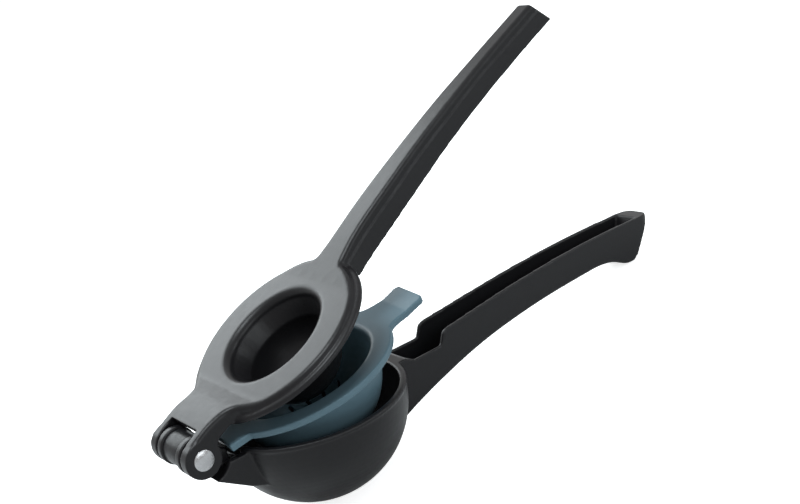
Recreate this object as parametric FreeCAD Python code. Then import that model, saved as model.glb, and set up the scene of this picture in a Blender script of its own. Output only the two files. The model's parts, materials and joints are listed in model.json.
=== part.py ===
import FreeCAD, Part
import math
import os
from FreeCAD import Vector

# A hinged lemon squeezer: a bowl lever, a pressing lever, a loose strainer between them and a riveted
# hinge. All sizes are millimetres. Everything is drawn first in the closed lever frame, with the pin's
# centre at the origin, +X towards the handles along the bowl's rim plane and +Z square to that plane.
# The pressing lever and the strainer are then turned to the open pose, and the whole tool is laid on
# its table plane, which touches the bowl's foot and the heel of the bowl lever's handle.

# Bowl
rimRadius = 35.0           # outside of the bead at the rim
hingeReach = 12.4          # pin centre to the bead
bowlOffset = rimRadius + hingeReach
rimDrop = 3.9              # bowl's rim below the pin centre
rimBeadHeight = 1.2        # straight part of the bead
beadProud = 0.4            # bead outside the round wall
bowlCentreDrop = 0.9       # centre of the round wall below the rim
bowlWall = 2.2
rimWidth = 2.0             # flat top of the rim
footDepth = 0.7            # what the foot's flat takes off the round bottom
drainRing = 8.5            # drain holes' pitch radius
drainRadius = 2.0
drainCount = 6

# Bowl lever's handle
handleWall = 1.7           # side walls of the open channel
handleFloor = 2.2
handleEndWall = 2.0
lowWallDrop = 2.2          # lowered side walls beside the bowl, below the rim
stepFoot = bowlOffset + 53.5   # foot of the step up to the full wall
stepFootRound = 1.0
stepHeadRound = 1.6
padLength = 4.2            # flat pad between the rim and the channel
handleEnd = bowlOffset + 168.8   # tip of the bowl lever's handle
heelX = bowlOffset + 155.1       # heel that rests on the table
heelDrop = 14.2            # heel below the pin centre
handleEndRadius = 4.8      # plan corners of the handle's end
channelCorner = 3.0
handleUnderRound = 1.2     # rounded lower edges

# Hinge
pinRadius = 2.5
pinHeadRadius = 3.57
pinHeadHeight = 0.9
pinClearance = 0.05        # radial, in the parts that turn on the pin
hingeWidth = 26.6          # over the two ears
earWidth = 4.2
earRadius = 6.5
earRecess = 9.4            # hollow end of the bowl lever's neck around each ear
lugWidth = 3.0
lugSetBack = 2.0           # lugs' front behind the strainer's heel, which is yawed nearer at one side
washerGap = 0.9            # gap between ear and lug
washerThickness = 0.7
washerRadius = 5.8
spacerRadius = 5.8
spacerRelief = 6.6         # the bowl lever's neck clears the spacer by this radius
capDepth = 4.0             # length of the far cap's sleeve
spigotRadius = 1.6         # pin's end inside that sleeve
spigotRoom = 0.3           # left free at the sleeve's bottom

# Bowl lever's neck
neckTopDrop = 4.75         # neck's side walls below the pin centre
neckRecess = 2.0           # shallow recess between those walls
neckWall = 3.0
neckUnderStart = 8.4       # underside of the neck below the pin centre, at the hinge
neckUnderEnd = 24.0        # and inside the bowl's round wall

# Pressing lever's ring and dome
ringTop = 2.83             # ring's top face above the pin centre
collarOver = 0.1           # the collar stands this far over the bowl's bead
collarRadius = rimRadius + collarOver
slabInset = 2.0            # thin slab's edge inside the collar's edge
slabDrop = 1.6             # height of the slab that carries the top face
slabSink = 0.8             # the slab reaches this far into what carries it
topEdge = 1.8              # large rounded edge of the top face, also along the handle
collarEdge = 1.4
ringUnder = -1.1           # underside of the collar
cupOuter = rimRadius - 6.6     # strainer's outside over the ribs
cupInner = cupOuter - 2.4      # inside of the strainer's ball
domeRadius = cupInner - 7.8    # outside of the dome's ball, with room for the pulp
mouthRadius = domeRadius + 3.6     # dome's mouth, where its rounding starts
mouthRound = 3.0
ringFlat = mouthRadius + 0.1       # the top face is flat this far to both sides
domeWall = 2.2
domeFlare = 1.2            # widening of the dome under the ring
domeCentre = -6.6

# Pressing lever's neck and handle
neckTop = 7.0
neckPlate = 3.0
slotEnd = 5.8              # inner end of the slot between the ears
armUnder = 0.8             # lower edge of the two arms
pressTip = bowlOffset + 166.0    # the handle's plan runs on to here
pressEnd = bowlOffset + 159.9    # and its end is cut off here, level with the pin
endSlant = 0.4             # the end leans back by this much for each millimetre up
bodyStart = bowlOffset + 34.2    # deep part of the handle starts under the ring's edge
ledge = 0.5                # the deep part is this much wider than the slab, each side
bodyWall = 1.9
bodyRoof = 3.0
pressCorner = 2.6
endCorner = 3.6            # plan corners of the slanted end
neckRootRound = 6.0        # plan corners where the ring meets the neck
handleRootRound = 3.0      # and where it meets the handle

# Strainer
flangeInset = 0.6          # flange's edge inside the bowl's bead
flangeRadius = rimRadius - flangeInset
flangeThickness = 2.4
seatGap = 0.25             # seat clearance between strainer and rim
seatShift = 1.0            # the loose strainer sits this far off the bowl's axis, away from the hinge
cupWall = 1.5              # wall between the ribs
cupCentre = -0.8
cupMouthRound = 1.7
ribCount = 36
ribWidth = 3.2
slitCount = 18
slitWidth = 1.3
slitTop = -19.5
slitBottom = -26.8
heelFlat = flangeRadius + 2.1    # squared end that faces the hinge, from the cup's axis
heelHalfWidth = 18.2
tabRoot = 12.5             # half width where the tab leaves the flange's circle
tabFlare = 10.6            # half width just outside the flange
tabWaist = 9.25            # half width at the bend
tabTip = 9.4               # half width at the tip
tabCorner = 2.0
tabBend = flangeRadius + 6.6     # bend line, from the cup's axis
tabLength = 8.0
tabAngle = 10.0
strainerYaw = -7.2         # the loose strainer lies turned by this much

# Open pose
leverAngle = 26.7          # ring plane to rim plane
closedAngle = 3.0          # where the pressing lever's handle comes down on the tab
openAngle = 110.0          # how far the levers open
strainerTilt = 11.1
tiltPivotX = -45.0         # tilt axis from the cup's axis, in the strainer's own direction
tiltPivotRise = -1.35      # and above the seated flange's top

origin = Vector(0, 0, 0)
yAxis = Vector(0, 1, 0)
zAxis = Vector(0, 0, 1)
wide = 90.0                # more than any half width or height, for cutting tools
long = 300.0               # more than any length


def pts(pairs, plane):
    """Points from pairs, in the XZ plane (side view) or the XY plane (plan)."""
    if plane == "side":
        return [Vector(a, 0, b) for a, b in pairs]
    return [Vector(a, b, 0) for a, b in pairs]


def smooth(pairs, plane, first=None, last=None):
    """One smooth edge through the pairs, with set directions at both ends if both are given."""
    curve = Part.BSplineCurve()
    if first is None:
        curve.interpolate(pts(pairs, plane))
    else:
        ends = pts([first, last], plane)
        curve.interpolate(Points=pts(pairs, plane), InitialTangent=ends[0], FinalTangent=ends[1])
    return curve.toShape()


def line(a, b, plane):
    """A straight edge from a to b."""
    p, q = pts([a, b], plane)
    return Part.makeLine(p, q)


def polygonFace(pairs, plane):
    """A flat face inside the closed polygon of pairs."""
    p = pts(pairs, plane)
    return Part.Face(Part.makePolygon(p + [p[0]]))


def edgesFace(edges):
    """A flat face inside edges that join end to end."""
    return Part.Face(Part.Wire(edges))


def alongY(face, low, high):
    """Extrude a side-view face from y = low to y = high."""
    moved = face.copy()
    moved.translate(Vector(0, low, 0))
    return moved.extrude(Vector(0, high - low, 0))


def alongZ(face, low, high):
    """Extrude a plan face from z = low to z = high."""
    moved = face.copy()
    moved.translate(Vector(0, 0, low))
    return moved.extrude(Vector(0, 0, high - low))


def topRounded(solid, radius, upward=1):
    """Round the outline of all faces that look up, or down with upward = -1."""
    seen = {}
    for face in solid.Faces:
        if upward * faceUp(face) > 0.6:
            for edge in face.Edges:
                seen.setdefault(edge.hashCode(), []).append(edge)
    return solid.makeFillet(radius, [found[0] for found in seen.values() if len(found) == 1])


def faceUp(face):
    """How far the face's middle looks up, from 1 to -1."""
    u0, u1, v0, v1 = face.ParameterRange
    return face.normalAt((u0 + u1) / 2, (v0 + v1) / 2).z


def spunAboutZ(edges, x):
    """Turn a closed side-view outline a whole turn about the vertical axis at x."""
    solid = edgesFace(edges).revolve(Vector(x, 0, 0), zAxis, 360)
    solid.rotate(Vector(x, 0, 0), zAxis, 90)
    return solid


def arcEdge(a, b, c, plane):
    """An arc from a through b to c."""
    p, q, r = pts([a, b, c], plane)
    return Part.Arc(p, q, r).toShape()


def roundedOutline(corners, plane):
    """A flat face inside corners (a, b, radius), each rounded by its own radius where that isn't 0."""
    edges = []
    count = len(corners)
    runs = []
    for i, (a, b, radius) in enumerate(corners):
        here = Vector(a, b, 0)
        back = Vector(*corners[i - 1][:2], 0) - here
        ahead = Vector(*corners[(i + 1) % count][:2], 0) - here
        back.normalize()
        ahead.normalize()
        if radius == 0:
            runs.append((here, here, here))
            continue
        halfAngle = back.getAngle(ahead) / 2
        middle = (back + ahead).normalize()
        reach = radius / math.tan(halfAngle)
        runs.append((here + back * reach, here + middle * (radius / math.sin(halfAngle) - radius),
                     here + ahead * reach))
    for i in range(count):
        start, mid, end = [(p.x, p.y) for p in runs[i]]
        if corners[i][2]:
            edges.append(arcEdge(start, mid, end, plane))
        after = runs[(i + 1) % count][0]
        edges.append(line(end, (after.x, after.y), plane))
    return edgesFace(edges)


def bandFromTable(table, column):
    """Plan or side pairs out of one column of a station table."""
    return [(row[0], row[column]) for row in table]


def verticalEdges(solid, test):
    """Straight edges along Z that pass the test on their x and y."""
    found = []
    for edge in solid.Edges:
        a = edge.Vertexes[0].Point
        b = edge.Vertexes[-1].Point
        upright = abs(a.x - b.x) < 1e-6 and abs(a.y - b.y) < 1e-6 and abs(a.z - b.z) > 1e-3
        if upright and test(a.x, abs(a.y)):
            found.append(edge)
    return found


def discY(radius, low, high):
    """A round bar along the pin's axis."""
    return Part.makeCylinder(radius, high - low, Vector(0, low, 0), yAxis)


# Along the bowl lever's handle: distance from the bowl's axis, half width, top edge, underside
lowerTable = [
    (14.6, 8.9, -3.2, -33.0),
    (32.6, 8.7, -2.7, -24.4),
    (49.6, 8.5, -1.6, -18.9),
    (70.6, 7.9, 0.15, -13.9),
    (91.6, 7.35, 1.8, -11.1),
    (113.6, 7.1, 2.9, -9.5),
    (128.6, 6.9, 3.25, -9.1),
    (140.6, 6.8, 3.2, -9.5),
]
# Along the pressing lever's handle: the same distance, half width of the slab, top, ledge, underside
upperTable = [
    (34.6, 7.6, 4.6, 1.4, -5.2),
    (40.6, 6.7, 5.55, 1.9, -4.9),
    (47.6, 6.3, 6.5, 2.7, -4.4),
    (62.6, 6.15, 7.8, 3.9, -3.2),
    (77.6, 5.65, 8.7, 5.1, -2.2),
    (92.6, 5.3, 9.3, 5.6, -1.2),
    (107.6, 5.1, 9.5, 6.0, -0.7),
    (122.6, 4.65, 9.4, 6.0, -0.8),
    (137.6, 4.45, 9.1, 5.35, -1.0),
    (152.6, 4.35, 8.65, 4.9, -1.6),
    (167.6, 4.35, 8.1, 4.6, -2.2),
]
lowerStations = [(bowlOffset + row[0],) + row[1:] for row in lowerTable]
upperStations = [(bowlOffset + row[0],) + row[1:] for row in upperTable]

halfHinge = hingeWidth / 2
earInner = halfHinge - earWidth
lugOuter = earInner - washerGap
lugInner = lugOuter - lugWidth
rimZ = -rimDrop
bowlZ = rimZ - bowlCentreDrop
bowlR = rimRadius - beadProud
bowlInnerR = bowlR - bowlWall


def bowlOuter():
    """The bowl's outside: a ball's lower half under a short straight bead."""
    x = bowlOffset
    z0 = rimZ - rimBeadHeight
    z1 = z0 - beadProud
    r1 = math.sqrt(bowlR ** 2 - (z1 - bowlZ) ** 2)
    mid = math.radians(-45)
    arc = arcEdge((x + r1, z1), (x + bowlR * math.cos(mid), bowlZ + bowlR * math.sin(mid)),
                  (x, bowlZ - bowlR), "side")
    edges = [
        line((x, rimZ), (x + rimRadius, rimZ), "side"),
        line((x + rimRadius, rimZ), (x + rimRadius, z0), "side"),
        line((x + rimRadius, z0), (x + r1, z1), "side"),
        arc,
        line((x, bowlZ - bowlR), (x, rimZ), "side"),
    ]
    return spunAboutZ(edges, x)


def bowlInner():
    """The bowl's inside, with a lead-in that leaves the rim its flat width."""
    x = bowlOffset
    rTop = rimRadius - rimWidth
    rLow = math.sqrt(bowlInnerR ** 2 - 0.25)
    z1 = bowlZ + 0.5
    mid = math.radians(-45)
    edges = [
        line((x, rimZ + 2), (x + rTop, rimZ + 2), "side"),
        line((x + rTop, rimZ + 2), (x + rTop, rimZ), "side"),
        line((x + rTop, rimZ), (x + rLow, z1), "side"),
        arcEdge((x + rLow, z1), (x + bowlInnerR * math.cos(mid), bowlZ + bowlInnerR * math.sin(mid)),
                (x, bowlZ - bowlInnerR), "side"),
        line((x, bowlZ - bowlInnerR), (x, rimZ + 2), "side"),
    ]
    return spunAboutZ(edges, x)


def lowerHandleSide(lift, endInset, topLift):
    """Side view of the bowl lever's handle, its underside raised by lift and its end drawn in."""
    top = [(x, z + topLift) for x, z in bandFromTable(lowerStations, 2)]
    top.append((heelX + 1.5, 2.7 + topLift))
    heel = (heelX - endInset, -heelDrop + lift)
    under = [(x, z + lift) for x, z in bandFromTable(lowerStations, 3)]
    under += [(heelX - 8.5 - 0.4 * endInset, -11.3 + lift),
              (heelX - 4.1 - 0.7 * endInset, -13.5 + lift), heel]
    toe = (heelX + 3.0 - endInset, -heelDrop + 1.6 + lift)
    topEnd = (handleEnd - endInset, 2.25 + topLift)
    corner = arcEdge(heel, (heelX + 2.0 - endInset, -heelDrop + 0.45 + lift), toe, "side")
    return edgesFace([
        smooth(top + [topEnd], "side"),
        line(topEnd, toe, "side"),
        corner,
        smooth(under, "side"),
        line(under[0], top[0], "side"),
    ])


def lowerHandlePlan(inset, start, endInset, endRadius):
    """Plan of the handle: both sides follow the half widths, and the end's corners are round."""
    def half(x):
        rows = lowerStations + [(handleEnd + 20, 6.75, 0, 0)]
        for a, b in zip(rows[:-1], rows[1:]):
            if a[0] <= x <= b[0]:
                return a[1] + (b[1] - a[1]) * (x - a[0]) / (b[0] - a[0])
        return rows[0][1]
    tip = handleEnd - endInset
    xs = [start, start + 12] + [row[0] for row in lowerStations[3:]] + [tip - endRadius]
    left = [(x, half(x) - inset) for x in xs]
    right = [(x, -half(x) + inset) for x in xs]
    w = half(tip) - inset
    k = endRadius * (1 - math.sqrt(0.5))
    edges = [
        smooth(left, "plan"),
        arcEdge(left[-1], (tip - k, w - k), (tip, w - endRadius), "plan"),
        line((tip, w - endRadius), (tip, -w + endRadius), "plan"),
        arcEdge((tip, -w + endRadius), (tip - k, -w + k), right[-1], "plan"),
        smooth(right[::-1], "plan"),
        line(right[0], left[0], "plan"),
    ]
    return edgesFace(edges)


def lowerHandle():
    """The handle's outside, a side view crossed with a plan."""
    body = alongY(lowerHandleSide(0.0, 0.0, 0.0), -wide, wide)
    plan = lowerHandlePlan(0.0, lowerStations[0][0], 0.0, handleEndRadius)
    body = body.common(alongZ(plan, -wide, wide))
    return topRounded(body, handleUnderRound, -1)


def lowerChannel():
    """The open channel inside the handle, with round plan corners next to the pad."""
    start = bowlOffset + rimRadius + padLength
    side = alongY(lowerHandleSide(handleFloor, handleEndWall, 12.0), -wide, wide)
    plan = lowerHandlePlan(handleWall, start, handleEndWall, handleEndRadius - handleWall)
    plan = alongZ(plan, -wide, wide)
    plan = plan.makeFillet(channelCorner, verticalEdges(plan, lambda x, y: abs(x - start) < 0.01))
    return side.common(plan)


def stepCut():
    """What is taken off the side walls beside the bowl, where the strainer's tab is gripped."""
    low = rimZ - lowWallDrop
    x0 = bowlOffset + rimRadius + 2.0
    headX, headZ = stepFoot + 2.2, low + 4.4
    above = 20.0
    face = roundedOutline([
        (x0, rimZ, 0),
        (x0 + 4.0, low, 0),
        (stepFoot, low, stepFootRound),
        (headX, headZ, stepHeadRound),
        (headX + 4.0, headZ + 1.5, 0),
        (headX + 4.0, above, 0),
        (x0 - 8.0, above, 0),
        (x0 - 8.0, rimZ, 0),
    ], "side")
    return alongY(face, -wide, wide)


def lowerNeck():
    """The neck from bowl to hinge: a block with two lugs, hollowed around ears and spacer."""
    topZ = -neckTopDrop
    inBowl = bowlOffset - bowlR / 2
    block = polygonFace([(0.0, topZ), (inBowl, topZ), (inBowl, -neckUnderEnd), (13.0, -16.6),
                         (1.0, -neckUnderStart), (0.0, -6.0)], "side")
    neck = alongY(block, -halfHinge, halfHinge)
    flat = halfHinge - neckWall
    neck = neck.cut(Part.makeBox(wide, 2 * flat, wide, Vector(-5, -flat, topZ - neckRecess)))
    front = bowlOffset - (heelFlat - seatShift) * math.cos(math.radians(strainerYaw)) - lugSetBack
    lugFace = polygonFace([(2.6, 5.2), (4.2, 4.3), (front - 1.2, -1.4), (front, -2.4), (front, -6.0),
                           (16.0, -8.0), (14.0, -15.5), (1.0, -neckUnderStart), (-2.4, -5.6)], "side")
    for side in (-1, 1):
        low = min(side * lugInner, side * lugOuter)
        lug = alongY(lugFace, low, low + lugWidth).fuse(discY(earRadius, low, low + lugWidth))
        recessEars = discY(earRecess, min(side * lugOuter, side * wide), max(side * lugOuter, side * wide))
        neck = neck.cut(recessEars).fuse(lug)
    return neck.cut(discY(spacerRelief, -lugInner, lugInner))


def drains():
    """Round drain holes at the bottom of the bowl, one on the axis and a ring around it."""
    bottom = bowlZ - bowlR - 2
    holes = Part.makeCylinder(drainRadius, 8, Vector(bowlOffset, 0, bottom), zAxis)
    for i in range(drainCount):
        a = math.radians(30 + 360 * i / drainCount)
        at = Vector(bowlOffset + drainRing * math.cos(a), drainRing * math.sin(a), bottom)
        holes = holes.fuse(Part.makeCylinder(drainRadius, 8, at, zAxis))
    return holes


def lowerLever():
    """The bowl lever in the lever frame, before its foot is cut flat."""
    handle = lowerHandle().cut(stepCut())
    root = lowerStations[0][0]
    padEnd = bowlOffset + rimRadius + 2.0
    pad = alongZ(lowerHandlePlan(0.0, root, 0.0, handleEndRadius), rimZ - 12, rimZ)
    keep = Part.makeBox(padEnd - root, 2 * wide, wide, Vector(root, -wide, -wide / 2))
    belowRim = Part.makeBox(long, 2 * wide, wide, Vector(0, -wide, rimZ - wide))
    outside = Part.makeBox(long, 2 * wide, wide, Vector(padEnd, -wide, -wide / 2))
    handle = handle.common(belowRim.fuse(outside))
    lever = bowlOuter().fuse(handle).fuse(pad.common(keep)).fuse(lowerNeck())
    lever = lever.cut(lowerChannel()).cut(bowlInner()).cut(drains())
    lever = lever.cut(discY(pinRadius + pinClearance, -wide, wide))
    return lever.removeSplitter()


def topEdges():
    """Top of the pressing lever: hinge neck, flat ring and rising handle, tangent where they meet."""
    level = (1.0, 0.0)
    flat = [(bowlOffset - ringFlat, ringTop), (bowlOffset + ringFlat, ringTop)]
    neck = [(-1.0, earRadius), (4.0, neckTop - 0.15), (8.5, neckTop - 0.1), (13.0, neckTop - 0.7),
            (18.0, neckTop - 2.0), (22.0, ringTop + 0.75), flat[0]]
    handle = [flat[1], (flat[1][0] + 5.2, ringTop + 0.65)] + bandFromTable(upperStations, 2)
    return [
        smooth(neck, "side", (1.0, 0.15), level),
        line(flat[0], flat[1], "side"),
        smooth(handle, "side", level, (1.0, -0.05)),
    ]


def pressPlan(roundEnd):
    """Plan of the slab: hinge neck, ring and handle, with rounded inner corners."""
    radius = collarRadius - slabInset
    ring = Part.Face(Part.Wire(Part.makeCircle(radius, Vector(bowlOffset, 0, 0))))
    neck = polygonFace([(-8, -halfHinge), (bowlOffset, -halfHinge),
                        (bowlOffset, halfHinge), (-8, halfHinge)], "plan")
    solid = alongZ(ring, -20, 30).fuse(alongZ(neck, -20, 30)).fuse(pressHandlePlan(0.0, roundEnd))
    solid = solid.removeSplitter()

    def onRing(x, y):
        return abs(math.hypot(x - bowlOffset, y) - radius) < 0.05

    roots = verticalEdges(solid, lambda x, y: onRing(x, y) and y > 1 and x < bowlOffset)
    solid = solid.makeFillet(neckRootRound, roots)
    roots = verticalEdges(solid, lambda x, y: onRing(x, y) and y > 1 and x > bowlOffset)
    return solid.makeFillet(handleRootRound, roots)


def pressHandleFace(extra, tip, roundEnd):
    """Plan of the pressing lever's handle, with round corners at its tip."""
    rows = [(x, w + extra) for x, w in bandFromTable(upperStations, 1) if x < tip - roundEnd - 1]
    rows = [(bowlOffset + 12.6, rows[0][1] + 0.6)] + rows
    w = rows[-1][1]
    left = rows + [(tip - roundEnd, w)]
    right = [(x, -y) for x, y in left]
    k = roundEnd * (1 - math.sqrt(0.5))
    edges = [
        smooth(left, "plan"),
        arcEdge((tip - roundEnd, w), (tip - k, w - k), (tip, w - roundEnd), "plan"),
        line((tip, w - roundEnd), (tip, roundEnd - w), "plan"),
        arcEdge((tip, roundEnd - w), (tip - k, k - w), (tip - roundEnd, -w), "plan"),
        smooth(right[::-1], "plan"),
        line(right[0], left[0], "plan"),
    ]
    return edgesFace(edges)


def pressHandlePlan(extra, roundEnd):
    """A tall solid over that plan, which runs past the handle's end."""
    return alongZ(pressHandleFace(extra, pressTip, roundEnd), -20, 30)


def slab():
    """The thin slab that runs from the hinge over the ring and along the handle."""
    top = topEdges()
    start = top[0].Vertexes[0].Point
    end = top[-1].Vertexes[-1].Point
    under = [(x, z - slabSink) for x, z in bandFromTable(upperStations, 3)]
    low = ringTop - slabDrop - slabSink
    edges = [
        line((end.x, end.z), under[-1], "side"),
        smooth(under[::-1], "side"),
        line(under[0], (14.0, low), "side"),
        line((14.0, low), (14.0, neckTop - neckPlate), "side"),
        line((14.0, neckTop - neckPlate), (start.x, neckTop - neckPlate), "side"),
        line((start.x, neckTop - neckPlate), (start.x, start.z), "side"),
    ]
    plain = alongY(edgesFace(top + edges), -wide, wide).common(pressPlan(pressCorner))
    return topRounded(plain, topEdge)


def endCut():
    """What lies beyond the handle's end, which leans back and has round corners."""
    height = 40.0
    kept = pressHandleFace(ledge + 1.2, pressEnd, endCorner)
    kept.translate(Vector(endSlant * height / 2, 0, -height / 2))
    kept = kept.extrude(Vector(-endSlant * height, 0, height))
    start = pressEnd - 14.0
    return Part.makeBox(wide, 2 * wide, height - 8, Vector(start, -wide, 4 - height / 2)).cut(kept)


def handleBody():
    """The deep part of the pressing lever's handle, open underneath, and the hollow inside it."""
    top = bandFromTable(upperStations, 3)
    under = bandFromTable(upperStations, 4)
    root = (bodyStart - 0.8, ringTop - slabDrop - slabSink)
    lowRoot = (bodyStart, under[0][1])
    face = edgesFace([
        smooth(top, "side"),
        line(top[-1], under[-1], "side"),
        smooth(under[::-1], "side"),
        line(under[0], lowRoot, "side"),
        line(lowRoot, root, "side"),
        line(root, top[0], "side"),
    ])
    body = alongY(face, -wide, wide).common(pressHandlePlan(ledge, pressCorner))
    roof = [(x, max(z - bodyRoof, 1.2)) for x, z in bandFromTable(upperStations, 2)]
    below = -12.0
    hollowFace = edgesFace([
        smooth(roof, "side"),
        line(roof[-1], (roof[-1][0], below), "side"),
        line((roof[-1][0], below), (roof[0][0], below), "side"),
        line((roof[0][0], below), roof[0], "side"),
    ])
    hollow = alongY(hollowFace, -wide, wide).common(pressHandlePlan(ledge - bodyWall, pressCorner))
    start = bodyStart + 4.4
    room = Part.makeBox(pressEnd - 2.2 * bodyWall - start, 2 * wide, wide, Vector(start, -wide, -wide / 2))
    return body, hollow.common(room)


def ringAndDome():
    """The collar under the slab and the pressing dome's outside, turned about the bowl's axis."""
    x = bowlOffset
    rCone = domeRadius + domeFlare
    crease = ringTop - slabDrop
    k = math.sqrt(0.5)
    outline = [
        line((x, crease), (x + collarRadius - collarEdge, crease), "side"),
        arcEdge((x + collarRadius - collarEdge, crease),
                (x + collarRadius - collarEdge * (1 - k), crease - collarEdge * (1 - k)),
                (x + collarRadius, crease - collarEdge), "side"),
        line((x + collarRadius, crease - collarEdge), (x + collarRadius, ringUnder + 0.6), "side"),
        line((x + collarRadius, ringUnder + 0.6), (x + collarRadius - 1.2, ringUnder), "side"),
        line((x + collarRadius - 1.2, ringUnder), (x + rCone + domeFlare, ringUnder), "side"),
        line((x + rCone + domeFlare, ringUnder), (x + rCone, ringUnder - domeFlare), "side"),
        line((x + rCone, ringUnder - domeFlare), (x + domeRadius, domeCentre), "side"),
        arcEdge((x + domeRadius, domeCentre), (x + domeRadius * k, domeCentre - domeRadius * k),
                (x, domeCentre - domeRadius), "side"),
        line((x, domeCentre - domeRadius), (x, crease), "side"),
    ]
    return spunAboutZ(outline, x)


def domeHollow():
    """The dome's inside up to its mouth, as a cutting tool."""
    x = bowlOffset
    inner = domeRadius - domeWall
    throat = mouthRadius - mouthRound
    k = math.sqrt(0.5)
    outline = [
        line((x, ringTop + 4), (x + throat, ringTop + 4), "side"),
        line((x + throat, ringTop + 4), (x + throat, ringTop - mouthRound), "side"),
        line((x + throat, ringTop - mouthRound), (x + inner, domeCentre), "side"),
        arcEdge((x + inner, domeCentre), (x + inner * k, domeCentre - inner * k),
                (x, domeCentre - inner), "side"),
        line((x, domeCentre - inner), (x, ringTop + 4), "side"),
    ]
    return spunAboutZ(outline, x)


def mouthRounded(solid):
    """Round the edge between the ring's top and the dome's mouth."""
    throat = mouthRadius - mouthRound
    rim = []
    for edge in solid.Edges:
        ends = [edge.valueAt(edge.FirstParameter + t * (edge.LastParameter - edge.FirstParameter))
                for t in (0, 0.3, 0.7)]
        around = all(abs(math.hypot(p.x - bowlOffset, p.y) - throat) < 0.01 for p in ends)
        if around and ends[0].z > ringTop - 0.01:
            rim.append(edge)
    return solid.makeFillet(mouthRound - 0.05, rim)


def arms():
    """The two ears around the pin and the arms that carry them."""
    plate = neckTop - neckPlate + 0.4
    face = polygonFace([(-1.0, plate), (14.0, plate), (18.0, 2.6), (24.0, 2.2), (24.0, armUnder),
                        (8.3, armUnder), (6.2, -0.4), (4.0, -2.0)], "side")
    both = None
    for side in (-1, 1):
        low = min(side * earInner, side * halfHinge)
        arm = alongY(face, low, low + earWidth).fuse(discY(earRadius, low, low + earWidth))
        both = arm if both is None else both.fuse(arm)
    return both


def upperLever():
    """The pressing lever, closed, with the ring parallel to the rim."""
    body, hollow = handleBody()
    lever = mouthRounded(slab().fuse(ringAndDome()).cut(domeHollow()))
    lever = lever.fuse(body).fuse(arms())
    slot = Part.makeBox(slotEnd + 20, 2 * earInner, 40, Vector(-20, -earInner, -20))
    lever = lever.cut(slot).cut(hollow).cut(endCut())
    shank = discY(pinRadius, -halfHinge, halfHinge)
    return lever.cut(shank).removeSplitter()


def strainerTabPlan():
    """Plan of the flat tab, from under the flange to its round-cornered tip."""
    root = (flangeRadius * 0.85, tabRoot + 3.0)
    tip = tabBend + tabLength
    c = tabCorner
    k = c * (1 - math.sqrt(0.5))
    side = [(flangeRadius * 0.93, tabRoot), (flangeRadius - 0.3, tabFlare), (tabBend - 3.5, tabWaist + 0.4),
            (tabBend, tabWaist), (tip - c, tabTip)]
    other = [(x, -y) for x, y in side[::-1]]
    edges = [
        line(root, side[0], "plan"),
        smooth(side, "plan"),
        arcEdge((tip - c, tabTip), (tip - k, tabTip - k), (tip, tabTip - c), "plan"),
        line((tip, tabTip - c), (tip, c - tabTip), "plan"),
        arcEdge((tip, c - tabTip), (tip - k, k - tabTip), (tip - c, -tabTip), "plan"),
        smooth(other, "plan"),
        line(other[-1], (root[0], -root[1]), "plan"),
        line((root[0], -root[1]), root, "plan"),
    ]
    return alongZ(edgesFace(edges), -20, 20)


def strainerTab():
    """The tab: level as far as the bend, then raised by the tab's angle."""
    a = math.radians(tabAngle)
    tip = tabBend + tabLength + 5
    rise = (tip - tabBend) * math.tan(a)
    t = flangeThickness
    root = flangeRadius / 2
    face = polygonFace([(root, -t), (tabBend, -t), (tip, rise - t), (tip, rise), (tabBend, 0), (root, 0)],
                       "side")
    return alongY(face, -wide, wide).common(strainerTabPlan())


def strainerCup():
    """The strainer's cup and flange, turned about the cup's axis."""
    k = math.sqrt(0.5)
    t = flangeThickness
    base = cupInner + cupWall
    zIn = cupCentre
    edges = [
        line((flangeRadius, 0), (cupInner + cupMouthRound, 0), "side"),
        arcEdge((cupInner + cupMouthRound, 0),
                (cupInner + cupMouthRound * (1 - k), -cupMouthRound * (1 - k)),
                (cupInner, -cupMouthRound), "side"),
        line((cupInner, -cupMouthRound), (cupInner, zIn - cupMouthRound), "side"),
        arcEdge((cupInner, zIn - cupMouthRound), (cupInner * k, zIn - cupMouthRound - cupInner * k),
                (0, zIn - cupMouthRound - cupInner), "side"),
        line((0, zIn - cupMouthRound - cupInner), (0, zIn - cupMouthRound - base), "side"),
        arcEdge((0, zIn - cupMouthRound - base), (base * k, zIn - cupMouthRound - base * k),
                (base, zIn - cupMouthRound), "side"),
        line((base, zIn - cupMouthRound), (base, -t), "side"),
        line((base, -t), (flangeRadius, -t), "side"),
        line((flangeRadius, -t), (flangeRadius, 0), "side"),
    ]
    return spunAboutZ(edges, 0.0)


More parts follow.
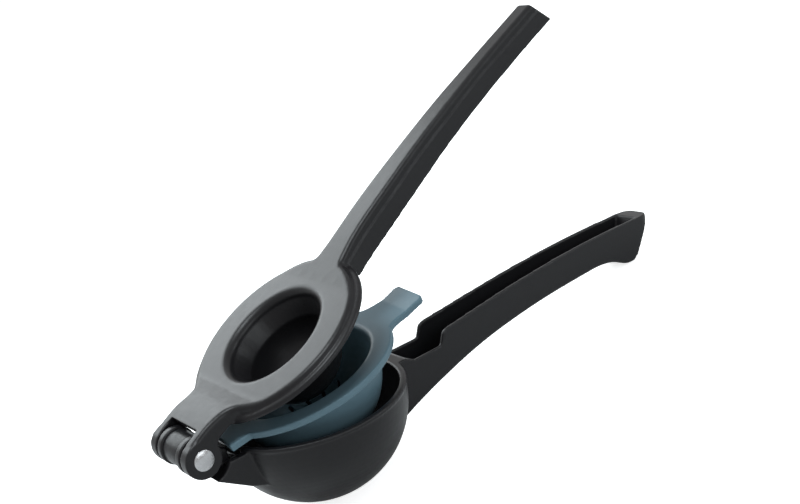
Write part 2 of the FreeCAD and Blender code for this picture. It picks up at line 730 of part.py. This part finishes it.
def strainer():
    """The loose strainer in its own frame: flange top at z = 0 and cup axis on Z, tab towards +X."""
    t = flangeThickness
    heel = Part.makeBox(heelFlat - heelHalfWidth, 2 * heelHalfWidth, t,
                        Vector(-heelFlat, -heelHalfWidth, -t))
    core = Part.makeCylinder(cupInner + cupMouthRound + 0.4, wide, Vector(0, 0, -wide / 2), zAxis)
    body = strainerCup().fuse(heel.fuse(strainerTab()).cut(core))
    middle = Vector(0, 0, cupCentre - cupMouthRound)
    ribBall = Part.makeSphere(cupOuter, middle).cut(Part.makeSphere(cupInner + 0.6, middle))
    ribTop = 0.2 - t
    ribFoot = slitBottom + 1.5
    band = Part.makeBox(2 * wide, 2 * wide, ribTop - ribFoot, Vector(-wide, -wide, ribFoot))
    ribBall = ribBall.common(band)
    ribs = []
    for i in range(ribCount):
        bar = Part.makeBox(wide, ribWidth, wide, Vector(cupInner / 2, -ribWidth / 2, -wide / 2))
        bar.rotate(origin, zAxis, 360.0 * i / ribCount)
        ribs.append(bar)
    slits = []
    for i in range(slitCount):
        slit = Part.makeBox(wide, slitWidth, slitTop - slitBottom, Vector(10, -slitWidth / 2, slitBottom))
        slit.rotate(origin, zAxis, 360.0 * i / slitCount + 180.0 / ribCount)
        slits.append(slit)
    body = body.fuse(ribBall.common(Part.makeCompound(ribs)))
    return body.cut(Part.makeCompound(slits)).removeSplitter()


def pinWithHead():
    """The hinge pin with its domed head on the near side."""
    shank = discY(pinRadius, -halfHinge, halfHinge - capDepth)
    shank = shank.fuse(discY(spigotRadius, 0, halfHinge - spigotRoom))
    ballR = (pinHeadRadius ** 2 + pinHeadHeight ** 2) / (2 * pinHeadHeight)
    ball = Part.makeSphere(ballR, Vector(0, -halfHinge - pinHeadHeight + ballR, 0))
    head = ball.common(discY(pinHeadRadius, -halfHinge - 5, -halfHinge))
    return shank.fuse(head).removeSplitter()


def endCap():
    """The far head, a domed cap whose short sleeve is pressed over the pin's end."""
    ballR = (pinHeadRadius ** 2 + pinHeadHeight ** 2) / (2 * pinHeadHeight)
    ball = Part.makeSphere(ballR, Vector(0, halfHinge + pinHeadHeight - ballR, 0))
    head = ball.common(discY(pinHeadRadius, halfHinge, halfHinge + 5))
    barrel = sleeve(pinRadius, spigotRadius, halfHinge - capDepth, halfHinge)
    return head.fuse(barrel).removeSplitter()


def sleeve(outer, inner, low, high):
    """A plain ring on the pin."""
    return discY(outer, low, high).cut(discY(inner, low - 1, high + 1))


def opened(shape):
    """Turn a closed-pose shape of the pressing lever to the open pose."""
    out = shape.copy()
    out.rotate(origin, yAxis, -leverAngle)
    return out


def strainerPlaced(shape):
    """Seat the strainer on the rim, turn it about the bowl's axis and tilt it to the open pose."""
    out = shape.copy()
    out.rotate(Vector(tiltPivotX, 0, tiltPivotRise), yAxis, -strainerTilt)
    out.translate(Vector(seatShift, 0, 0))
    out.rotate(origin, zAxis, strainerYaw)
    out.translate(Vector(bowlOffset, 0, rimZ + seatGap + flangeThickness))
    return out


def tablePitch():
    """Angle between rim plane and table, from the bowl's foot and the handle's heel."""
    dx = heelX - bowlOffset
    dz = heelDrop + bowlZ
    reach = math.hypot(dx, dz)
    return math.asin((bowlR - footDepth) / reach) - math.atan2(dz, dx)


def onTable(shape):
    """Lay a lever-frame shape on the table, with the foot's centre at the origin."""
    pitch = tablePitch()
    down = bowlR - footDepth
    footX = bowlOffset + down * math.sin(pitch)
    footZ = bowlZ - down * math.cos(pitch)
    out = shape.copy()
    out.translate(Vector(-footX, 0, -footZ))
    out.rotate(origin, yAxis, math.degrees(pitch))
    return out


def buildAll():
    """Every node by name, placed at rest."""
    runR = pinRadius + pinClearance
    gapSide = (washerGap - washerThickness) / 2
    nodes = {}
    table = Part.makeBox(2 * long, 2 * wide, wide, Vector(-long, -wide, -wide))
    nodes["lower_lever"] = onTable(lowerLever()).cut(table)
    nodes["upper_lever"] = onTable(opened(upperLever()))
    nodes["strainer_insert"] = onTable(strainerPlaced(strainer()))
    nodes["hinge_pin"] = onTable(opened(pinWithHead()))
    nodes["pin_end_cap"] = onTable(opened(endCap()))
    nodes["hinge_spacer"] = onTable(sleeve(spacerRadius, runR, -lugInner, lugInner))
    low = lugOuter + gapSide
    nodes["washer_far"] = onTable(sleeve(washerRadius, runR, low, low + washerThickness))
    nodes["washer_near"] = onTable(sleeve(washerRadius, runR, -low - washerThickness, -low))
    return nodes


def jointFacts():
    """Pin centre, tilt axis and the joints' ranges, all in the table frame, counted from the open pose."""
    pivot = Part.Vertex(Vector(tiltPivotX, 0, tiltPivotRise))
    second = Part.Vertex(Vector(tiltPivotX, -1, tiltPivotRise))
    ends = []
    for point in (pivot, second):
        point.translate(Vector(seatShift, 0, 0))
        point.rotate(origin, zAxis, strainerYaw)
        point.translate(Vector(bowlOffset, 0, rimZ + seatGap + flangeThickness))
        ends.append(onTable(point).Point)
    travel = leverAngle - closedAngle
    return {
        "pin": onTable(Part.Vertex(origin)).Point,
        "tilt pivot": ends[0],
        "tilt axis": ends[1] - ends[0],
        "lever range": (-travel, openAngle - leverAngle),
        "tilt per lever": strainerTilt / travel,
    }


def main():
    os.makedirs("parts", exist_ok=True)
    for name, shape in buildAll().items():
        solids = shape.Solids
        kept = solids[0] if len(solids) == 1 else Part.makeCompound(solids)
        kept.exportStep(os.path.join("parts", name + ".step"))
        b = kept.BoundBox
        print(name, "solids", len(solids), "valid", kept.isValid(), "volume", round(kept.Volume),
              "box", [round(v, 1) for v in (b.XMin, b.YMin, b.ZMin, b.XMax, b.YMax, b.ZMax)])
    for name, value in jointFacts().items():
        print(name, value)


main()
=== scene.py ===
import json
import math
import bmesh
import bpy
import numpy as np
from mathutils import Matrix, Vector


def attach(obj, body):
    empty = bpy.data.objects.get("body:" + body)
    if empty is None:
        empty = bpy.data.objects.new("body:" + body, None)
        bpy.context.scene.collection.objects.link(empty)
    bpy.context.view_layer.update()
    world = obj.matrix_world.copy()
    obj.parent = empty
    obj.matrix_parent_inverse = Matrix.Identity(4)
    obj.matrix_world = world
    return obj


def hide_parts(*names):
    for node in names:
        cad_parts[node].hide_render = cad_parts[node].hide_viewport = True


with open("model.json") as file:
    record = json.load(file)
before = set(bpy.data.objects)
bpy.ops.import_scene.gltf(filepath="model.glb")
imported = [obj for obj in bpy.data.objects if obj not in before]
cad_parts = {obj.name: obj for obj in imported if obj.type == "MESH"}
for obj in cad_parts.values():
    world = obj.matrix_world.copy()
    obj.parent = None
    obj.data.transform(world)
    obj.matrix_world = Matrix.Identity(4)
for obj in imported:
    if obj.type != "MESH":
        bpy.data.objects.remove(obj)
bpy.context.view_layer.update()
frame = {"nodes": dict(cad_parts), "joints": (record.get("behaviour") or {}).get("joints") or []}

mm = 0.001


# helpers for meshes

def newPiece(name, points, faces, body, replaced, material):
    # points is an n by 3 array in metres, faces a list of corner lists
    mesh = bpy.data.meshes.new(name)
    mesh.from_pydata(points.tolist(), [], faces)
    mesh.update()
    mesh.shade_smooth()
    piece = bpy.data.objects.new(name, mesh)
    bpy.context.scene.collection.objects.link(piece)
    mesh.materials.append(material)
    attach(piece, body)
    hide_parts(replaced)
    return piece


def gridFaces(rows, columns):
    # quads between neighbouring rows of a grid that closes on itself across its columns
    i, j = np.meshgrid(np.arange(rows - 1), np.arange(columns), indexing="ij")
    nextJ = (j + 1) % columns
    low, high = i * columns, (i + 1) * columns
    corners = np.stack([low + j, low + nextJ, high + nextJ, high + j], -1)
    return corners.reshape(-1, 4).tolist()


def turnedAboutPin(profile, pinAt, steps):
    # each profile point (radius, y) becomes a ring: pin + radius * (cos a, 0, sin a) + (0, y, 0)
    radius, along = np.array(profile, float).T[:, :, None] * mm
    angle = np.linspace(0, 2 * math.pi, steps, endpoint=False)[None, :]
    ring = np.stack([radius * np.cos(angle), along + 0 * angle, radius * np.sin(angle)], -1)
    return (ring + np.array(pinAt)).reshape(-1, 3)


def roundedCorner(cx, cy, radius, start, end, count=6):
    # points on an arc about (cx, cy) from start to end degrees
    a = np.radians(np.linspace(start, end, count))
    return np.column_stack([cx + radius * np.cos(a), cy + radius * np.sin(a)]).tolist()


# voxel is the grid's size in mm, and turns bring the piece square to that grid
castings = {
    "bowlLever": {
        "node": "lower_lever", "body": "bowl_lever", "slot": "lever_coat",
        "voxel": 0.42, "passes": 3, "turns": [("Y", -9.133)],
    },
    "pressLever": {
        "node": "upper_lever", "body": "press_lever", "slot": "lever_coat",
        "voxel": 0.35, "passes": 5, "turns": [("Y", 17.567)],
    },
    "strainer": {
        "node": "strainer_insert", "body": "strainer", "slot": "strainer_plastic",
        "voxel": 0.36, "passes": 3, "turns": [("Y", -9.133), ("Z", 7.2), ("Y", 11.1)],
    },
    "triangles": 190000,       # a casting with more triangles is decimated down to this many; the most that one casting may have
    "easeShare": 0.5,          # how far each smoothing pass moves a point
}


def softCasting(name, material):
    # a cast or moulded piece: the node's solid, turned square to a fine grid, resampled on it and
    # turned back, with every edge eased by a little smoothing
    c = castings[name]
    square = Matrix.Identity(4)
    for axis, degrees in c["turns"]:
        square = Matrix.Rotation(math.radians(degrees), 4, axis) @ square
    mesh = frame["nodes"][c["node"]].data.copy()
    mesh.transform(square)
    shape = bmesh.new()
    shape.from_mesh(mesh)
    bmesh.ops.remove_doubles(shape, verts=shape.verts, dist=1e-6)
    shape.to_mesh(mesh)
    shape.free()
    mesh.materials.clear()
    work = bpy.data.objects.new(name + "Work", mesh)
    bpy.context.scene.collection.objects.link(work)
    remesh = work.modifiers.new("even", "REMESH")
    remesh.mode = "VOXEL"
    remesh.voxel_size = c["voxel"] * mm
    remesh.use_smooth_shade = True
    ease = work.modifiers.new("ease", "SMOOTH")
    ease.factor = castings["easeShare"]
    ease.iterations = c["passes"]
    evenCount = 2 * len(work.evaluated_get(bpy.context.evaluated_depsgraph_get()).data.polygons)
    if evenCount > castings["triangles"]:
        fewer = work.modifiers.new("fewer", "DECIMATE")
        fewer.ratio = castings["triangles"] / evenCount
    evaluated = work.evaluated_get(bpy.context.evaluated_depsgraph_get())
    made = bpy.data.meshes.new_from_object(evaluated)
    bpy.data.objects.remove(work)
    made.transform(square.inverted())
    made.name = name
    made.shade_smooth()
    made.materials.clear()
    made.materials.append(material)
    piece = bpy.data.objects.new(name, made)
    bpy.context.scene.collection.objects.link(piece)
    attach(piece, c["body"])
    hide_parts(c["node"])
    print(name, "even", evenCount, "faces", len(made.polygons))
    return piece


# helpers for materials

def newMaterial(name):
    material = bpy.data.materials.new(name)
    material.use_nodes = True
    tree = material.node_tree
    shader = tree.nodes["Principled BSDF"]
    place = tree.nodes.new("ShaderNodeTexCoord")
    return material, tree, shader, place.outputs["Object"]


def noise(tree, place, scale, detail, roughness=0.5):
    node = tree.nodes.new("ShaderNodeTexNoise")
    node.inputs["Scale"].default_value = scale
    node.inputs["Detail"].default_value = detail
    node.inputs["Roughness"].default_value = roughness
    tree.links.new(place, node.inputs["Vector"])
    return node.outputs["Fac"]


def ramp(tree, value, low, high, fromLow=0.0, fromHigh=1.0):
    # a number that runs from low to high as value runs from fromLow to fromHigh
    node = tree.nodes.new("ShaderNodeMapRange")
    node.inputs["From Min"].default_value = fromLow
    node.inputs["From Max"].default_value = fromHigh
    node.inputs["To Min"].default_value = low
    node.inputs["To Max"].default_value = high
    tree.links.new(value, node.inputs["Value"])
    return node.outputs["Result"]


def mixColour(tree, factor, first, second):
    node = tree.nodes.new("ShaderNodeMix")
    node.data_type = "RGBA"
    node.inputs["A"].default_value = (*first, 1)
    node.inputs["B"].default_value = (*second, 1)
    tree.links.new(factor, node.inputs["Factor"])
    return node.outputs["Result"]


def bump(tree, height, strength, distance, previous=None):
    node = tree.nodes.new("ShaderNodeBump")
    node.inputs["Strength"].default_value = strength
    node.inputs["Distance"].default_value = distance
    tree.links.new(height, node.inputs["Height"])
    if previous is not None:
        tree.links.new(previous, node.inputs["Normal"])
    return node.outputs["Normal"]


coat = {
    "dark": (0.0055, 0.0053, 0.0060),
    "light": (0.0090, 0.0087, 0.0095),
    "roughness": (0.33, 0.37),
    "grainScale": 2000,        # about 0.5 mm between grains
    "grainBump": 0.45,
    "orangeScale": 420,        # slow ripple of the coating
    "specular": 0.16,
}


def coatMaterial():
    # satin black powder coat: fine grain over a slow ripple
    material, tree, shader, place = newMaterial("satinBlackCoat")
    grain = noise(tree, place, coat["grainScale"], 3)
    ripple = noise(tree, place, coat["orangeScale"], 2)
    tree.links.new(mixColour(tree, grain, coat["dark"], coat["light"]), shader.inputs["Base Color"])
    tree.links.new(ramp(tree, ripple, *coat["roughness"], 0.3, 0.7), shader.inputs["Roughness"])
    fine = bump(tree, grain, coat["grainBump"], 0.00004)
    tree.links.new(bump(tree, ripple, 0.05, 0.0001, fine), shader.inputs["Normal"])
    shader.inputs["Specular IOR Level"].default_value = coat["specular"]
    return material


strainerLook = {
    "flowScale": 60,
    "fineScale": 2600,
    "fineBump": 0.12,
    "dark": (0.066, 0.108, 0.132),
    "light": (0.078, 0.126, 0.152),
    "roughness": (0.34, 0.44),
    "specular": 0.10,
}


def strainerMaterial():
    # blue-grey moulded plastic with a faint flow mottle
    material, tree, shader, place = newMaterial("blueGreyPlastic")
    look = strainerLook
    flow = noise(tree, place, look["flowScale"], 3)
    fine = noise(tree, place, look["fineScale"], 2)
    tree.links.new(mixColour(tree, flow, look["dark"], look["light"]), shader.inputs["Base Color"])
    tree.links.new(ramp(tree, flow, *look["roughness"], 0.3, 0.7), shader.inputs["Roughness"])
    tree.links.new(bump(tree, fine, look["fineBump"], 0.00003), shader.inputs["Normal"])
    shader.inputs["Specular IOR Level"].default_value = look["specular"]
    return material


steelLook = {
    "cloudScale": 900,
    "dark": (0.26, 0.26, 0.265),
    "light": (0.34, 0.34, 0.345),
    "roughness": (0.18, 0.30),
    "cloudBump": 0.15,
}


def steelMaterial():
    # bright pin: steel with a fine cloudy unevenness
    material, tree, shader, place = newMaterial("brightPinSteel")
    look = steelLook
    cloud = noise(tree, place, look["cloudScale"], 3)
    tree.links.new(mixColour(tree, cloud, look["dark"], look["light"]), shader.inputs["Base Color"])
    tree.links.new(ramp(tree, cloud, *look["roughness"], 0.3, 0.7), shader.inputs["Roughness"])
    tree.links.new(bump(tree, cloud, look["cloudBump"], 0.00005), shader.inputs["Normal"])
    shader.inputs["Metallic"].default_value = 1.0
    return material


blackLook = {
    "smearScale": 500,
    "dark": (0.006, 0.006, 0.0065),
    "light": (0.011, 0.011, 0.012),
    "roughness": (0.30, 0.42),
    "specular": 0.12,
    "smearBump": 0.08,
}


def hingePlasticMaterial():
    # glossy black sleeve and washers
    material, tree, shader, place = newMaterial("glossBlackPlastic")
    look = blackLook
    smear = noise(tree, place, look["smearScale"], 3)
    tree.links.new(mixColour(tree, smear, look["dark"], look["light"]), shader.inputs["Base Color"])
    tree.links.new(ramp(tree, smear, *look["roughness"], 0.3, 0.7), shader.inputs["Roughness"])
    shader.inputs["Specular IOR Level"].default_value = look["specular"]
    tree.links.new(bump(tree, smear, look["smearBump"], 0.00005), shader.inputs["Normal"])
    return material


blackCoat = coatMaterial()
bluePlastic = strainerMaterial()
pinSteel = steelMaterial()
blackGloss = hingePlasticMaterial()
print("materials made")


# the two castings and the strainer

softCasting("bowlLever", blackCoat)
softCasting("pressLever", blackCoat)
softCasting("strainer", bluePlastic)
print("castings made")

# the hinge
pinAt = [j for j in frame["joints"] if j["name"] == "lever_hinge"][0]["pos_m"]
hinge = {
    "steps": 96,
    "shank": 2.5,
    "headRadius": 3.57,
    "headHeight": 0.9,
    "headEdge": 0.25,
    "headRim": 0.12,           # straight rim under the dome
    "domeShare": 0.92,         # the dome's part of the head's height
    "domeFrom": 0.07,          # where the dome starts above the ear's face
    "halfWidth": 13.3,
    "capDepth": 4.0,
    "spigot": 1.6,
    "spigotRoom": 0.3,
    "spacerRadius": 5.8,
    "spacerHalf": 5.2,
    "runningRadius": 2.55,
    "washerRadius": 5.8,
    "washerFrom": 8.3,
    "washerTo": 9.0,
    "edge": 0.3,
}


def closedTurning(name, profile, body, node, material):
    # the profile runs from the axis, round the outside and back to the axis
    steps = hinge["steps"]
    points = turnedAboutPin(profile, pinAt, steps)
    rows = len(profile)
    faces = gridFaces(rows, steps)
    piece = newPiece(name, points, faces, body, node, material)
    shape = bmesh.new()
    shape.from_mesh(piece.data)
    bmesh.ops.remove_doubles(shape, verts=shape.verts, dist=1e-7)
    bmesh.ops.recalc_face_normals(shape, faces=shape.faces)
    shape.to_mesh(piece.data)
    shape.free()
    return piece


def domedHead(side):
    # the head's outline from its rim inwards to the axis: a small edge round, then a shallow dome
    h = hinge
    r = np.linspace(h["headRadius"] - h["headEdge"], 0, 14)
    rise = h["headHeight"] * (1 - (r / h["headRadius"]) ** 2) * h["domeShare"] + h["domeFrom"]
    dome = np.column_stack([r, side * (h["halfWidth"] + rise)]).tolist()
    rim = [[h["headRadius"], side * y] for y in (h["halfWidth"], h["halfWidth"] + h["headRim"])]
    return rim + dome


def hingePieces():
    h = hinge
    inner = h["halfWidth"] - h["capDepth"]
    tip = h["halfWidth"] - h["spigotRoom"]
    pin = [[0, tip], [h["spigot"], tip], [h["spigot"], inner],
           [h["shank"], inner], [h["shank"], -h["halfWidth"]]] + domedHead(-1)
    closedTurning("hingePin", pin, "press_lever", "hinge_pin", pinSteel)
    cap = [[0, h["halfWidth"]], [h["spigot"], h["halfWidth"]], [h["spigot"], inner], [h["shank"], inner],
           [h["shank"], h["halfWidth"]]] + domedHead(1)
    closedTurning("pinCap", cap, "press_lever", "pin_end_cap", pinSteel)
    ringPiece("spacer", h["spacerRadius"], -h["spacerHalf"], h["spacerHalf"], "hinge_spacer")
    ringPiece("washerFar", h["washerRadius"], h["washerFrom"], h["washerTo"], "washer_far")
    ringPiece("washerNear", h["washerRadius"], -h["washerTo"], -h["washerFrom"], "washer_near")


def ringPiece(name, radius, low, high, node):
    # a sleeve or washer: four corners, the outer two eased
    e = min(hinge["edge"], (high - low) / 3)
    bore = hinge["runningRadius"]
    outline = [[bore, low]] + roundedCorner(radius - e, low + e, e, -90, 0)
    outline += roundedCorner(radius - e, high - e, e, 0, 90) + [[bore, high], [bore, low]]
    closedTurning(name, outline, "bowl_lever", node, blackGloss)


hingePieces()
print("hinge made")


# floor, backdrop and light

floorLook = {"size": 4.0, "colour": (0.80, 0.80, 0.80), "seen": 0.75}


def stageFloor():
    # a pale floor: white where the camera sees it, darkened only by the object's shadow
    mesh = bpy.data.meshes.new("floor")
    s = floorLook["size"]
    mesh.from_pydata([(-s, -s, 0), (s, -s, 0), (s, s, 0), (-s, s, 0)], [], [(0, 1, 2, 3)])
    floor = bpy.data.objects.new("floor", mesh)
    bpy.context.scene.collection.objects.link(floor)
    floor.location = (0, 0, -0.0002)
    material = bpy.data.materials.new("paleFloor")
    material.use_nodes = True
    tree = material.node_tree
    shader = tree.nodes["Principled BSDF"]
    shader.inputs["Base Color"].default_value = (*floorLook["colour"], 1)
    shader.inputs["Roughness"].default_value = 0.8
    shader.inputs["Specular IOR Level"].default_value = 0.1
    path = tree.nodes.new("ShaderNodeLightPath")
    shader.inputs["Emission Color"].default_value = (1, 1, 1, 1)
    glow = tree.nodes.new("ShaderNodeMath")
    glow.operation = "MULTIPLY"
    glow.inputs[1].default_value = floorLook["seen"]
    tree.links.new(path.outputs["Is Camera Ray"], glow.inputs[0])
    tree.links.new(glow.outputs[0], shader.inputs["Emission Strength"])
    mesh.materials.append(material)


# soft boxes, in metres and watts: one behind for the top faces, one overhead for the near edges,
# one beside the camera for the side walls, and a narrow one to the right for the rims
boxes = {
    "backBox": {"at": (-0.05, 0.95, 0.62), "width": 0.85, "height": 0.62, "power": 10.5},
    "topBox": {"at": (-0.12, -0.05, 1.00), "width": 0.50, "height": 0.30, "power": 9},
    "frontBox": {"at": (0.14, -0.95, 0.40), "width": 0.90, "height": 0.35, "power": 4},
    "sideBox": {"at": (0.75, -0.55, 0.45), "width": 0.15, "height": 0.60, "power": 2.5},
}
lampAim = (0.03, 0.0, 0.06)
lampColour = (0.90, 0.97, 1.0)
worldLevel = {"lit": 0.32, "seen": 1.0}


def softbox(name, at, aim, width, height, power):
    lamp = bpy.data.lights.new(name, "AREA")
    lamp.shape = "RECTANGLE"
    lamp.size = width
    lamp.size_y = height
    lamp.energy = power
    lamp.color = lampColour
    holder = bpy.data.objects.new(name, lamp)
    bpy.context.scene.collection.objects.link(holder)
    holder.location = at
    holder.rotation_mode = "QUATERNION"
    holder.rotation_quaternion = (Vector(aim) - Vector(at)).to_track_quat("-Z", "Y")
    return holder


def studioLight():
    world = bpy.data.worlds.new("studio")
    bpy.context.scene.world = world
    world.use_nodes = True
    tree = world.node_tree
    back = tree.nodes["Background"]
    path = tree.nodes.new("ShaderNodeLightPath")
    seen = tree.nodes.new("ShaderNodeMath")
    seen.operation = "MAXIMUM"
    tree.links.new(path.outputs["Is Camera Ray"], seen.inputs[0])
    tree.links.new(path.outputs["Is Glossy Ray"], seen.inputs[1])
    clear = tree.nodes.new("ShaderNodeMath")
    clear.operation = "MAXIMUM"
    tree.links.new(seen.outputs[0], clear.inputs[0])
    tree.links.new(path.outputs["Is Transmission Ray"], clear.inputs[1])
    level = tree.nodes.new("ShaderNodeMapRange")
    level.inputs["To Min"].default_value = worldLevel["lit"]
    level.inputs["To Max"].default_value = worldLevel["seen"]
    tree.links.new(clear.outputs[0], level.inputs["Value"])
    tree.links.new(level.outputs["Result"], back.inputs["Strength"])
    back.inputs["Color"].default_value = (1, 1, 1, 1)
    for name, box in boxes.items():
        softbox(name, box["at"], lampAim, box["width"], box["height"], box["power"])


stageFloor()
studioLight()

# the camera, worked out from the photograph: place in metres, where it looks, and its roll
shot = {
    "place": (-0.14171, -0.35349, 0.23107),
    "right": (0.73312, -0.58076, -0.35392),
    "down": (-0.50978, -0.12479, -0.85121),
    "forward": (0.45018, 0.80445, -0.38754),
    "focal": 55.125,
}
lens = bpy.data.cameras.new("camera")
lens.lens = shot["focal"]
lens.sensor_width = 36
lens.clip_start = 0.01
lens.clip_end = 20
camera = bpy.data.objects.new("camera", lens)
bpy.context.scene.collection.objects.link(camera)
turn = Matrix((shot["right"], [-v for v in shot["down"]], [-v for v in shot["forward"]])).transposed()
camera.matrix_world = Matrix.Translation(shot["place"]) @ turn.to_4x4()
bpy.context.scene.camera = camera
bpy.context.scene.view_settings.view_transform = "Standard"

print("stage, light and camera made")
